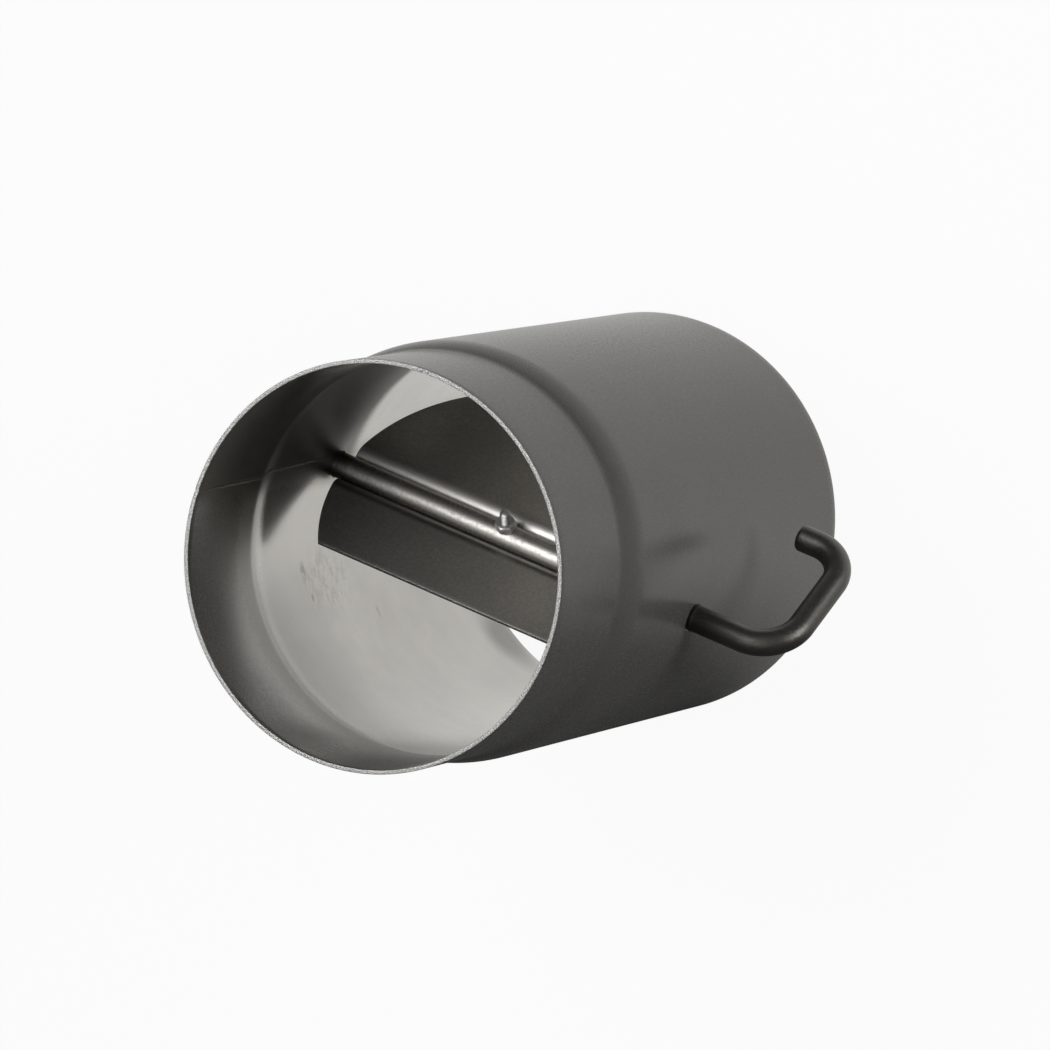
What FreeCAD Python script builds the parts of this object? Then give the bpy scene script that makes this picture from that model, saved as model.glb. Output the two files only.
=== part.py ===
import FreeCAD, Part
import math
import os
import Sketcher

# Stove pipe damper: a flue pipe with a spigot, and a plate that turns in it on a shaft.
# Frame: origin at the centre of the plain end, +Z up the pipe's axis to the spigot,
# +X along the shaft to the handle. Millimetres and degrees.

SIZES = {
    # The pipe, of one thickness of sheet all over
    "pipe_bore": 150.0,
    "pipe_sheet": 1.5,
    "pipe_length": 250.0,
    "spigot_play": 1.5,
    "spigot_length": 50.0,
    "taper_length": 18.0,
    "crease_radius": 14.0,
    # The shaft and its handle, one bent bar
    "shaft_height": 128.0,
    "bar_diameter": 10.0,
    "hole_gap": 0.45,
    "tail_length": 5.0,
    "handle_reach": 36.3,
    "handle_width": 53.0,
    "handle_return": 21.8,
    "first_bend_radius": 16.0,
    "last_bend_radius": 14.0,
    "bar_chamfer": 0.6,
    # The damper plate, with the bead that holds the shaft
    "plate_tilt": 50.2,
    "plate_gap": 5.5,
    "plate_shift": 2.0,
    "plate_sheet": 1.5,
    "plate_level": 2.5,
    "plate_cut": 38.0,
    "bead_gap": 0.1,
    "bead_shoulder": 7.4,
    # The bolt and nut through the plate and the shaft
    "bolt_diameter": 4.0,
    "bolt_shift": 2.6,
    "bolt_length": 20.0,
    "bolt_head_flats": 7.0,
    "bolt_head_height": 2.8,
    "bolt_hole_gap": 0.15,
    "bolt_chamfer": 0.5,
    "nut_flats": 7.0,
    "nut_height": 3.2,
    "hex_chamfer": 0.5,
    "thread_gap": 0.03,
}

doc = FreeCAD.newDocument("stove_pipe_damper")
sheet = doc.addObject("Spreadsheet::Sheet", "dims")
for row, (alias, value) in enumerate(SIZES.items(), start=1):
    sheet.set("A%d" % row, alias)
    sheet.set("B%d" % row, str(value))
    sheet.setAlias("B%d" % row, alias)
doc.recompute()

S = type("Sizes", (), SIZES)

# A sketch's own numbering of an element's points and of its two axes
START, END, CENTRE = range(1, 4)
X_AXIS, Y_AXIS = range(-1, -3, -1)
ORIGIN_POINT = (X_AXIS, START)

ROOT_THREE = math.sqrt(3)
SAME_PLACE = 0.01


def vec(x, y):
    return FreeCAD.Vector(x, y, 0)


def new_body(name):
    body = doc.addObject("PartDesign::Body", name)
    body.Label = name
    return body


def origin_plane(body, role):
    for item in body.Origin.OriginFeatures:
        if item.Role == role:
            return item
    raise ValueError(role)


def new_sketch(body, name, role, offset=None):
    """A sketch on one of the body's own planes, moved along its normal by an expression."""
    sketch = body.newObject("Sketcher::SketchObject", name)
    sketch.AttachmentSupport = [(origin_plane(body, role), "")]
    sketch.MapMode = "FlatFace"
    if offset:
        sketch.setExpression("AttachmentOffset.Base.z", offset)
    return sketch


def rule(sketch, kind, *places):
    return sketch.addConstraint(Sketcher.Constraint(kind, *places))


def size(sketch, kind, places, value, expression):
    """A dimension whose value follows the sheet."""
    index = sketch.addConstraint(Sketcher.Constraint(kind, *places, value))
    sketch.setExpression("Constraints[%d]" % index, expression)


def line(sketch, start, end):
    return sketch.addGeometry(Part.LineSegment(vec(*start), vec(*end)), False)


def arc(sketch, centre, radius, from_deg, to_deg):
    circle = Part.Circle(vec(*centre), FreeCAD.Vector(0, 0, 1), radius)
    bow = Part.ArcOfCircle(circle, math.radians(from_deg), math.radians(to_deg))
    return sketch.addGeometry(bow, False)


def circle_sketch(body, name, role, centre, centre_rules, diameter, diameter_rule, offset=None):
    """A sketch of one circle. A centre rule of None keeps that coordinate on its axis."""
    sketch = new_sketch(body, name, role, offset)
    ring = sketch.addGeometry(
        Part.Circle(vec(*centre), FreeCAD.Vector(0, 0, 1), diameter / 2), False)
    size(sketch, "Diameter", (ring,), diameter, diameter_rule)
    if centre_rules[0]:
        size(sketch, "DistanceX", (*ORIGIN_POINT, ring, CENTRE), centre[0], centre_rules[0])
    else:
        rule(sketch, "PointOnObject", ring, CENTRE, Y_AXIS)
    if centre_rules[1]:
        size(sketch, "DistanceY", (*ORIGIN_POINT, ring, CENTRE), centre[1], centre_rules[1])
    else:
        rule(sketch, "PointOnObject", ring, CENTRE, X_AXIS)
    return sketch


def pad(body, name, sketch, length_rule, symmetric=False, reversed_way=False):
    feature = body.newObject("PartDesign::Pad", name)
    feature.Profile = sketch
    feature.SideType = "Symmetric" if symmetric else "One side"
    feature.Reversed = reversed_way
    feature.setExpression("Length", length_rule)
    sketch.Visibility = False
    return feature


def pocket(body, name, sketch, length_rule):
    """A cut that runs both ways from its sketch, with length_rule as its whole length."""
    feature = body.newObject("PartDesign::Pocket", name)
    feature.Profile = sketch
    feature.SideType = "Symmetric"
    feature.setExpression("Length", length_rule)
    sketch.Visibility = False
    return feature


def edges_at(shape, test):
    """Names of the round edges whose circle passes the test."""
    names = []
    for number, edge in enumerate(shape.Edges, start=1):
        if isinstance(edge.Curve, Part.Circle) and test(edge.Curve):
            names.append("Edge%d" % number)
    return names


# The flue pipe: its section is turned about the axis, then both shaft holes are cut

bore_r = S.pipe_bore / 2
pipe_r = bore_r + S.pipe_sheet
spigot_r = bore_r - S.spigot_play
spigot_foot = S.pipe_length - S.spigot_length
taper_foot = spigot_foot - S.taper_length
swage = pipe_r - spigot_r
bends_sum = (S.taper_length ** 2 + swage ** 2) / (2 * swage)
shoulder_r = bends_sum - S.crease_radius
lean = math.degrees(math.asin(S.taper_length / bends_sum))


def make_pipe():
    body = new_body("flue_pipe")
    sketch = new_sketch(body, "pipe_section", "XZ_Plane")
    shoulder = (pipe_r - shoulder_r, taper_foot)
    crease = (spigot_r + S.crease_radius, spigot_foot)
    outer_wall = line(sketch, (pipe_r, 0), (pipe_r, taper_foot))
    outer_shoulder = arc(sketch, shoulder, shoulder_r, 0, lean)
    outer_crease = arc(sketch, crease, S.crease_radius, 180, 180 + lean)
    outer_spigot = line(sketch, (spigot_r, spigot_foot), (spigot_r, S.pipe_length))
    rim = line(sketch, (spigot_r, S.pipe_length), (spigot_r - S.pipe_sheet, S.pipe_length))
    inner_spigot = line(
        sketch, (spigot_r - S.pipe_sheet, S.pipe_length), (spigot_r - S.pipe_sheet, spigot_foot))
    inner_crease = arc(sketch, crease, S.crease_radius + S.pipe_sheet, 180, 180 + lean)
    inner_shoulder = arc(sketch, shoulder, shoulder_r - S.pipe_sheet, 0, lean)
    inner_wall = line(sketch, (bore_r, taper_foot), (bore_r, 0))
    base = line(sketch, (bore_r, 0), (pipe_r, 0))

    rule(sketch, "Tangent", outer_wall, END, outer_shoulder, START)
    rule(sketch, "Tangent", outer_shoulder, END, outer_crease, END)
    rule(sketch, "Tangent", outer_crease, START, outer_spigot, START)
    rule(sketch, "Coincident", outer_spigot, END, rim, START)
    rule(sketch, "Coincident", rim, END, inner_spigot, START)
    rule(sketch, "Tangent", inner_spigot, END, inner_crease, START)
    rule(sketch, "Tangent", inner_crease, END, inner_shoulder, END)
    rule(sketch, "Tangent", inner_shoulder, START, inner_wall, START)
    rule(sketch, "Coincident", inner_wall, END, base, START)
    rule(sketch, "Coincident", base, END, outer_wall, START)
    rule(sketch, "Coincident", inner_crease, CENTRE, outer_crease, CENTRE)
    rule(sketch, "Coincident", inner_shoulder, CENTRE, outer_shoulder, CENTRE)
    for upright in (outer_wall, outer_spigot, inner_spigot, inner_wall):
        rule(sketch, "Vertical", upright)
    rule(sketch, "Horizontal", rim)
    rule(sketch, "Horizontal", base)
    rule(sketch, "PointOnObject", base, START, X_AXIS)
    size(sketch, "Radius", (outer_crease,), S.crease_radius, "dims.crease_radius")
    size(sketch, "DistanceX", (*ORIGIN_POINT, inner_wall, END), bore_r, "dims.pipe_bore / 2")
    size(sketch, "DistanceX", (inner_wall, END, base, END), S.pipe_sheet, "dims.pipe_sheet")
    size(sketch, "DistanceX", (*ORIGIN_POINT, outer_spigot, END), spigot_r,
         "dims.pipe_bore / 2 - dims.spigot_play")
    size(sketch, "DistanceY", (*ORIGIN_POINT, outer_spigot, END), S.pipe_length,
         "dims.pipe_length")
    size(sketch, "DistanceY", (outer_spigot, START, outer_spigot, END), S.spigot_length,
         "dims.spigot_length")
    size(sketch, "DistanceY", (outer_wall, END, outer_spigot, START), S.taper_length,
         "dims.taper_length")

    turned = body.newObject("PartDesign::Revolution", "pipe_wall")
    turned.Profile = sketch
    turned.ReferenceAxis = (sketch, ["V_Axis"])
    turned.Angle = 360
    holes = circle_sketch(
        body, "shaft_hole_circle", "YZ_Plane", (0, S.shaft_height), (None, "dims.shaft_height"),
        S.bar_diameter + 2 * S.hole_gap, "dims.bar_diameter + 2 * dims.hole_gap")
    pocket(body, "shaft_holes", holes, "2 * (dims.pipe_bore + 2 * dims.pipe_sheet)")
    return body


# What turns has its own frame: X along the shaft, Y in the plate's plane, Z out of its front,
# with the origin where the shaft crosses the pipe's axis


def set_on_shaft(body):
    body.Placement = FreeCAD.Placement(
        vec(0, 0), FreeCAD.Rotation(FreeCAD.Vector(1, 0, 0), -S.plate_tilt))
    body.setExpression("Placement.Base.z", "dims.shaft_height")
    body.setExpression("Placement.Rotation.Angle", "-dims.plate_tilt")


# The handle and shaft: one bar along a path of three straights and two bends

bar_r = S.bar_diameter / 2
handle_x = pipe_r + S.handle_reach


def make_handle_shaft():
    body = new_body("handle_shaft")
    path = new_sketch(body, "bar_path", "XY_Plane")
    first = S.first_bend_radius
    last = S.last_bend_radius
    tail_x = -pipe_r - S.tail_length
    top = S.handle_width
    shaft = line(path, (tail_x, 0), (handle_x - first, 0))
    first_bend = arc(path, (handle_x - first, first), first, -90, 0)
    grip = line(path, (handle_x, first), (handle_x, top - last))
    last_bend = arc(path, (handle_x - last, top - last), last, 0, 90)
    hook = line(path, (handle_x - last, top), (handle_x - S.handle_return, top))
    rule(path, "Tangent", shaft, END, first_bend, START)
    rule(path, "Tangent", first_bend, END, grip, START)
    rule(path, "Tangent", grip, END, last_bend, START)
    rule(path, "Tangent", last_bend, END, hook, START)
    rule(path, "Horizontal", shaft)
    rule(path, "Vertical", grip)
    rule(path, "Horizontal", hook)
    rule(path, "PointOnObject", shaft, START, X_AXIS)
    size(path, "Radius", (first_bend,), first, "dims.first_bend_radius")
    size(path, "Radius", (last_bend,), last, "dims.last_bend_radius")
    size(path, "DistanceX", (shaft, START, *ORIGIN_POINT), -tail_x,
         "dims.pipe_bore / 2 + dims.pipe_sheet + dims.tail_length")
    size(path, "DistanceX", (*ORIGIN_POINT, grip, START), handle_x,
         "dims.pipe_bore / 2 + dims.pipe_sheet + dims.handle_reach")
    size(path, "DistanceY", (*ORIGIN_POINT, hook, START), top, "dims.handle_width")
    size(path, "DistanceX", (hook, END, grip, END), S.handle_return, "dims.handle_return")

    section = circle_sketch(
        body, "bar_section", "YZ_Plane", (0, 0), (None, None), S.bar_diameter,
        "dims.bar_diameter", "-(dims.pipe_bore / 2 + dims.pipe_sheet + dims.tail_length)")
    bar = body.newObject("PartDesign::AdditivePipe", "bent_bar")
    bar.Profile = section
    bar.Spine = (path, ["Edge%d" % n for n in range(1, 6)])
    doc.recompute()
    ends = edges_at(
        bar.Shape, lambda c: abs(c.Radius - bar_r) < SAME_PLACE and (
            abs(c.Center.x - tail_x) < SAME_PLACE
            or (abs(c.Center.x - (handle_x - S.handle_return)) < SAME_PLACE and c.Center.y > 1)))
    chamfer = body.newObject("PartDesign::Chamfer", "bar_end_chamfers")
    chamfer.Base = (bar, ends)
    chamfer.setExpression("Size", "dims.bar_chamfer")
    hole = circle_sketch(
        body, "bolt_hole_circle", "XY_Plane", (-S.bolt_shift, 0), ("-dims.bolt_shift", None),
        S.bolt_diameter + 2 * S.bolt_hole_gap, "dims.bolt_diameter + 2 * dims.bolt_hole_gap")
    pocket(body, "bolt_hole", hole, "2 * dims.bar_diameter")
    set_on_shaft(body)
    return body


# The damper plate: the beaded sheet's section is padded along the shaft, then cut to a disc
# with one straight side, and drilled for the bolt

PLATE_RADIUS = "(dims.pipe_bore / 2 - dims.plate_gap)"
plate_r = bore_r - S.plate_gap
bead_r = bar_r + S.bead_gap
shoulder_z = S.plate_level - S.bead_shoulder
shoulder_y = math.sqrt((bead_r + S.bead_shoulder) ** 2 - shoulder_z ** 2)
bead_lean = math.degrees(math.atan2(-shoulder_z, shoulder_y))


def bead_side(sketch, end_y, front):
    """One face of the sheet: straight, shoulder, bead, shoulder and straight, left to right."""
    depth = 0 if front else S.plate_sheet
    level = S.plate_level - depth
    shoulder = S.bead_shoulder - depth
    left = line(sketch, (-end_y, level), (-shoulder_y, level))
    left_shoulder = arc(sketch, (-shoulder_y, shoulder_z), shoulder, bead_lean, 90)
    bead = arc(sketch, (0, 0), bead_r + depth, 180 + bead_lean, 360 - bead_lean)
    right_shoulder = arc(sketch, (shoulder_y, shoulder_z), shoulder, 90, 180 - bead_lean)
    right = line(sketch, (shoulder_y, level), (end_y, level))
    rule(sketch, "Tangent", left, END, left_shoulder, END)
    rule(sketch, "Tangent", left_shoulder, START, bead, START)
    rule(sketch, "Tangent", bead, END, right_shoulder, END)
    rule(sketch, "Tangent", right_shoulder, START, right, START)
    rule(sketch, "Horizontal", left)
    rule(sketch, "Horizontal", right)
    rule(sketch, "Coincident", bead, CENTRE, *ORIGIN_POINT)
    size(sketch, "Radius", (bead,), bead_r + depth,
         "dims.bar_diameter / 2 + dims.bead_gap" + ("" if front else " + dims.plate_sheet"))
    return left, left_shoulder, bead, right_shoulder, right


def make_plate():
    body = new_body("damper_plate")
    section = new_sketch(body, "bead_section", "YZ_Plane")
    half = plate_r + S.plate_sheet
    front = bead_side(section, half, True)
    back = bead_side(section, half, False)
    left_end = line(section, (-half, S.plate_level), (-half, S.plate_level - S.plate_sheet))
    right_end = line(section, (half, S.plate_level), (half, S.plate_level - S.plate_sheet))
    rule(section, "Coincident", left_end, START, front[0], START)
    rule(section, "Coincident", left_end, END, back[0], START)
    rule(section, "Coincident", right_end, START, front[4], END)
    rule(section, "Coincident", right_end, END, back[4], END)
    rule(section, "Vertical", left_end)
    rule(section, "Vertical", right_end)
    rule(section, "Coincident", back[1], CENTRE, front[1], CENTRE)
    rule(section, "Coincident", back[3], CENTRE, front[3], CENTRE)
    rule(section, "Equal", front[1], front[3])
    size(section, "Radius", (front[1],), S.bead_shoulder, "dims.bead_shoulder")
    size(section, "DistanceY", (*ORIGIN_POINT, front[0], START), S.plate_level,
         "dims.plate_level")
    rule(section, "Horizontal", front[0], START, front[4], END)
    size(section, "DistanceX", (left_end, START, *ORIGIN_POINT), half,
         PLATE_RADIUS + " + dims.plate_sheet")
    size(section, "DistanceX", (*ORIGIN_POINT, right_end, START), half,
         PLATE_RADIUS + " + dims.plate_sheet")
    pad(body, "beaded_sheet", section,
        "2 * (" + PLATE_RADIUS + " + dims.plate_shift + dims.plate_sheet)", symmetric=True)

    outline = new_sketch(body, "disc_outline", "XY_Plane")
    centre = (-S.plate_shift, 0)
    cut_angle = math.degrees(math.asin(S.plate_cut / plate_r))
    cut_half = math.sqrt(plate_r ** 2 - S.plate_cut ** 2)
    disc = arc(outline, centre, plate_r, -cut_angle, 180 + cut_angle)
    cut = line(outline, (centre[0] - cut_half, -S.plate_cut),
               (centre[0] + cut_half, -S.plate_cut))
    rule(outline, "Coincident", disc, START, cut, END)
    rule(outline, "Coincident", disc, END, cut, START)
    rule(outline, "Horizontal", cut)
    rule(outline, "PointOnObject", disc, CENTRE, X_AXIS)
    size(outline, "Radius", (disc,), plate_r, PLATE_RADIUS)
    size(outline, "DistanceX", (disc, CENTRE, *ORIGIN_POINT), S.plate_shift,
         "dims.plate_shift")
    size(outline, "DistanceY", (cut, START, *ORIGIN_POINT), S.plate_cut, "dims.plate_cut")
    reach = 2 * plate_r
    waste = outline.addGeometry(
        Part.Circle(vec(*centre), FreeCAD.Vector(0, 0, 1), reach), False)
    rule(outline, "Coincident", waste, CENTRE, disc, CENTRE)
    size(outline, "Radius", (waste,), reach, "2 * " + PLATE_RADIUS)
    pocket(body, "disc", outline, "4 * (dims.bar_diameter + dims.plate_sheet)")

    hole = circle_sketch(
        body, "bolt_hole_circle", "XY_Plane", (-S.bolt_shift, 0), ("-dims.bolt_shift", None),
        S.bolt_diameter + 2 * S.bolt_hole_gap, "dims.bolt_diameter + 2 * dims.bolt_hole_gap")
    pocket(body, "bolt_hole", hole, "4 * (dims.bar_diameter + dims.plate_sheet)")
    set_on_shaft(body)
    return body


# The bolt and nut: hexagons with their corners turned off, on the plate's own Z


def hexagon(body, name, flats, flats_rule, offset):
    """A hexagon about the bolt's axis, with two flats facing along the shaft."""
    sketch = new_sketch(body, name, "XY_Plane", offset)
    middle = -S.bolt_shift
    corner = flats / ROOT_THREE
    points = []
    for step in range(6):
        angle = math.radians(30 + 60 * step)
        points.append((middle + corner * math.cos(angle), corner * math.sin(angle)))
    guide = sketch.addGeometry(
        Part.Circle(vec(middle, 0), FreeCAD.Vector(0, 0, 1), corner), True)
    sides = [line(sketch, points[k], points[(k + 1) % 6]) for k in range(6)]
    for k in range(6):
        rule(sketch, "Coincident", sides[k], END, sides[(k + 1) % 6], START)
        rule(sketch, "PointOnObject", sides[k], START, guide)
    for k in range(1, 6):
        rule(sketch, "Equal", sides[0], sides[k])
    rule(sketch, "Vertical", sides[2])
    rule(sketch, "PointOnObject", guide, CENTRE, X_AXIS)
    size(sketch, "DistanceX", (guide, CENTRE, *ORIGIN_POINT), S.bolt_shift,
         "dims.bolt_shift")
    size(sketch, "Diameter", (guide,), 2 * corner, flats_rule + " * 2 / sqrt(3)")
    return sketch


def turn_off_corners(body, name, flats, face_z, way, chamfer, rules):
    """Cuts a hexagon's corners at one face to a cone. way is +1 where the face looks up."""
    flats_rule, face_rule, chamfer_rule = rules
    sketch = new_sketch(body, name + "_section", "XZ_Plane")
    middle = -S.bolt_shift
    inner = flats / 2
    outer = inner + chamfer * ROOT_THREE
    top = line(sketch, (middle + inner, face_z), (middle + outer, face_z))
    side = line(sketch, (middle + outer, face_z), (middle + outer, face_z - way * chamfer))
    slope = line(sketch, (middle + outer, face_z - way * chamfer), (middle + inner, face_z))
    axis = sketch.addGeometry(Part.LineSegment(
        vec(middle, face_z), vec(middle, face_z + chamfer)), True)
    rule(sketch, "Coincident", top, END, side, START)
    rule(sketch, "Coincident", side, END, slope, START)
    rule(sketch, "Coincident", slope, END, top, START)
    rule(sketch, "Horizontal", top)
    rule(sketch, "Vertical", side)
    rule(sketch, "Vertical", axis)
    rule(sketch, "Horizontal", axis, START, top, START)
    size(sketch, "DistanceX", (axis, START, *ORIGIN_POINT), S.bolt_shift, "dims.bolt_shift")
    size(sketch, "DistanceX", (axis, START, top, START), inner, flats_rule + " / 2")
    size(sketch, "DistanceX", (top, START, top, END), outer - inner,
         chamfer_rule + " * sqrt(3)")
    size(sketch, "DistanceY", (axis, START, axis, END), chamfer, chamfer_rule)
    if way > 0:
        size(sketch, "DistanceY", (side, END, side, START), chamfer, chamfer_rule)
        size(sketch, "DistanceY", (*ORIGIN_POINT, top, START), face_z, face_rule)
    else:
        size(sketch, "DistanceY", (side, START, side, END), chamfer, chamfer_rule)
        size(sketch, "DistanceY", (top, START, *ORIGIN_POINT), -face_z, face_rule)
    groove = body.newObject("PartDesign::Groove", name)
    groove.Profile = sketch
    groove.ReferenceAxis = (sketch, ["Axis0"])
    groove.Angle = 360
    return groove


BACK_RULE = "(dims.bar_diameter / 2 + dims.bead_gap + dims.plate_sheet)"
plate_back = bead_r + S.plate_sheet


def make_bolt():
    body = new_body("plate_bolt")
    head = hexagon(body, "head_hexagon", S.bolt_head_flats, "dims.bolt_head_flats",
                   "-" + BACK_RULE)
    pad(body, "head", head, "dims.bolt_head_height", reversed_way=True)
    turn_off_corners(
        body, "head_corners", S.bolt_head_flats, -plate_back - S.bolt_head_height, -1,
        S.hex_chamfer,
        ("dims.bolt_head_flats", BACK_RULE + " + dims.bolt_head_height", "dims.hex_chamfer"))
    shank = circle_sketch(
        body, "shank_circle", "XY_Plane", (-S.bolt_shift, 0), ("-dims.bolt_shift", None),
        S.bolt_diameter, "dims.bolt_diameter", "-" + BACK_RULE)
    rod = pad(body, "shank", shank, "dims.bolt_length")
    doc.recompute()
    tip_z = S.bolt_length - plate_back
    tip = edges_at(rod.Shape, lambda c: abs(c.Center.z - tip_z) < SAME_PLACE)
    chamfer = body.newObject("PartDesign::Chamfer", "tip_chamfer")
    chamfer.Base = (rod, tip)
    chamfer.setExpression("Size", "dims.bolt_chamfer")
    set_on_shaft(body)
    return body


def make_nut():
    body = new_body("plate_nut")
    block = hexagon(body, "nut_hexagon", S.nut_flats, "dims.nut_flats", "dims.bar_diameter / 2")
    pad(body, "nut_block", block, "dims.nut_height")
    turn_off_corners(
        body, "nut_corners", S.nut_flats, bar_r + S.nut_height, 1, S.hex_chamfer,
        ("dims.nut_flats", "dims.bar_diameter / 2 + dims.nut_height", "dims.hex_chamfer"))
    thread = circle_sketch(
        body, "thread_circle", "XY_Plane", (-S.bolt_shift, 0), ("-dims.bolt_shift", None),
        S.bolt_diameter + 2 * S.thread_gap, "dims.bolt_diameter + 2 * dims.thread_gap")
    pocket(body, "threaded_hole", thread, "4 * (dims.bar_diameter + dims.nut_height)")
    set_on_shaft(body)
    return body


pieces = [make_pipe(), make_handle_shaft(), make_plate(), make_bolt(), make_nut()]
doc.recompute()

for item in doc.Objects:
    if "Invalid" in item.State or "Error" in item.State:
        raise RuntimeError("%s failed: %s" % (item.Name, item.State))
for piece in pieces:
    if piece.Shape.isNull() or not piece.Shape.isValid() or len(piece.Shape.Solids) != 1:
        raise RuntimeError("%s is not one sound solid" % piece.Label)

os.makedirs("parts", exist_ok=True)
for piece in pieces:
    piece.Shape.exportStep("parts/%s.step" % piece.Label)
    box = piece.Shape.BoundBox
    print("%s: %.0f mm3, X %.1f to %.1f, Y %.1f to %.1f, Z %.1f to %.1f" % (
        piece.Label, piece.Shape.Volume, box.XMin, box.XMax, box.YMin, box.YMax,
        box.ZMin, box.ZMax))
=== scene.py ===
import bmesh
import bpy
import math
from mathutils import Matrix, Vector, geometry


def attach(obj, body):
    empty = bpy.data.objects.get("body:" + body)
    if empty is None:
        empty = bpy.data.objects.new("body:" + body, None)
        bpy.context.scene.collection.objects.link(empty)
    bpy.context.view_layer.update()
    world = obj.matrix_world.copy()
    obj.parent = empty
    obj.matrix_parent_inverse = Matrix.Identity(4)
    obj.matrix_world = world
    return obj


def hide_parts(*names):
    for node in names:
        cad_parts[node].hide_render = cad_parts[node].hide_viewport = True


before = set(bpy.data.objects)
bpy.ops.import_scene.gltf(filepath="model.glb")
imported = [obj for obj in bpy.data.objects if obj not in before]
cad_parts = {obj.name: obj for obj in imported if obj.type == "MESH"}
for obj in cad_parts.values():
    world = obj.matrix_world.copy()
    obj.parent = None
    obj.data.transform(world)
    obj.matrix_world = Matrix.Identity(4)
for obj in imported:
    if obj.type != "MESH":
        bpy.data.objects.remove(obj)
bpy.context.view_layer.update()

# Sizes as in the CAD model, in millimetres and degrees. The wall's shoulder and crease are two
# arcs that meet at the angle LEAN. HANDLE_X and HANDLE_V are the handle's reach along the shaft
# and across it, and RETURN is the reach of its last arm. LEVEL is the height of the plate's
# front over the shaft's axis, and CUT is the distance of its straight side from it.

BORE_R = 75.0
SHEET = 1.5
PIPE_R = BORE_R + SHEET
LENGTH = 250.0
SPIGOT_R = 73.5
SPIGOT_FOOT = 200.0
TAPER_FOOT = 182.0
CREASE_R = 14.0
SWAGE = PIPE_R - SPIGOT_R
BENDS_SUM = ((SPIGOT_FOOT - TAPER_FOOT) ** 2 + SWAGE ** 2) / (2 * SWAGE)
SHOULDER_R = BENDS_SUM - CREASE_R
LEAN = math.asin((SPIGOT_FOOT - TAPER_FOOT) / BENDS_SUM)
SHAFT_Z = 128.0
HOLE_R = 5.45
BAR_R = 5.0
TAIL_X = -PIPE_R - 5.0
HANDLE_X = PIPE_R + 36.3
HANDLE_V = 53.0
RETURN = 21.8
FIRST_BEND = 16.0
LAST_BEND = 14.0
TILT = 50.2
PLATE_R = 69.5
PLATE_SHIFT = 2.0
LEVEL = 2.5
CUT = 38.0
BEAD_R = 5.1
BEAD_SHOULDER = 7.4
BOLT_R = 2.0
BOLT_BACK = BEAD_R + SHEET
BOLT_SHIFT = 2.6
BOLT_TIP = 20.0 - BOLT_BACK
BOLT_HOLE_R = 2.15
NUT_HOLE_R = 2.03
FLATS = 7.0
HEAD_HEIGHT = 2.8
NUT_HEIGHT = 3.2

# The shaft's frame has its X along the shaft and its XY plane in the plate. The bolt's frame is
# the same, moved along the shaft to the bolt, which stands along its Z.

SHAFT_FRAME = (Matrix.Translation((0, 0, SHAFT_Z))
               @ Matrix.Rotation(math.radians(-TILT), 4, "X"))
BOLT_FRAME = SHAFT_FRAME @ Matrix.Translation((-BOLT_SHIFT, 0, 0))
TO_METRES = Matrix.Scale(0.001, 4)


# Mesh helpers

def make_object(name, verts, faces, mats, slots=(), place=Matrix.Identity(4), smooth=40.0):
    """A mesh object from points in millimetres, with its edges sharp above an angle."""
    mesh = bpy.data.meshes.new(name)
    mesh.from_pydata([Vector(v) for v in verts], [], faces)
    mesh.transform(TO_METRES @ place)
    for mat in mats:
        mesh.materials.append(mat)
    for poly, slot in zip(mesh.polygons, slots):
        poly.material_index = slot
    obj = bpy.data.objects.new(name, mesh)
    bpy.context.scene.collection.objects.link(obj)
    finish_mesh(obj, smooth)
    return obj


def finish_mesh(obj, smooth):
    """Welds doubled points, turns the faces outward and shades smooth below an angle."""
    mesh = obj.data
    work = bmesh.new()
    work.from_mesh(mesh)
    bmesh.ops.remove_doubles(work, verts=work.verts, dist=1e-7)
    bmesh.ops.recalc_face_normals(work, faces=work.faces)
    work.to_mesh(mesh)
    work.free()
    mesh.polygons.foreach_set("use_smooth", [True] * len(mesh.polygons))
    mesh.set_sharp_from_angle(angle=math.radians(smooth))
    mesh.update()


def apply_modifier(obj, mod):
    """Puts a modifier's result into the object's mesh."""
    bpy.context.view_layer.update()
    deps = bpy.context.evaluated_depsgraph_get()
    mesh = bpy.data.meshes.new_from_object(obj.evaluated_get(deps))
    obj.modifiers.remove(mod)
    old = obj.data
    obj.data = mesh
    bpy.data.meshes.remove(old)


def combine(obj, cutter, how, smooth=40.0):
    """Applies a boolean and throws the cutter away."""
    mod = obj.modifiers.new("combine", "BOOLEAN")
    mod.operation = how
    mod.solver = "EXACT"
    mod.object = cutter
    apply_modifier(obj, mod)
    bpy.data.objects.remove(cutter)
    finish_mesh(obj, smooth)


def round_edges(obj, width, angle):
    """Rounds an object's edges that are sharper than an angle."""
    mod = obj.modifiers.new("round", "BEVEL")
    mod.width = width / 1000
    mod.segments = 2
    mod.limit_method = "ANGLE"
    mod.angle_limit = math.radians(angle)
    apply_modifier(obj, mod)
    finish_mesh(obj, 50.0)


def steps(start, end, count):
    """Even steps from start to end, both of them in."""
    return [start + (end - start) * k / count for k in range(count + 1)]


def arc_points(centre, radius, start, end, count):
    """Points on an arc, both ends in, angles in radians."""
    return [(centre[0] + radius * math.cos(a), centre[1] + radius * math.sin(a))
            for a in steps(start, end, count)]


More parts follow.
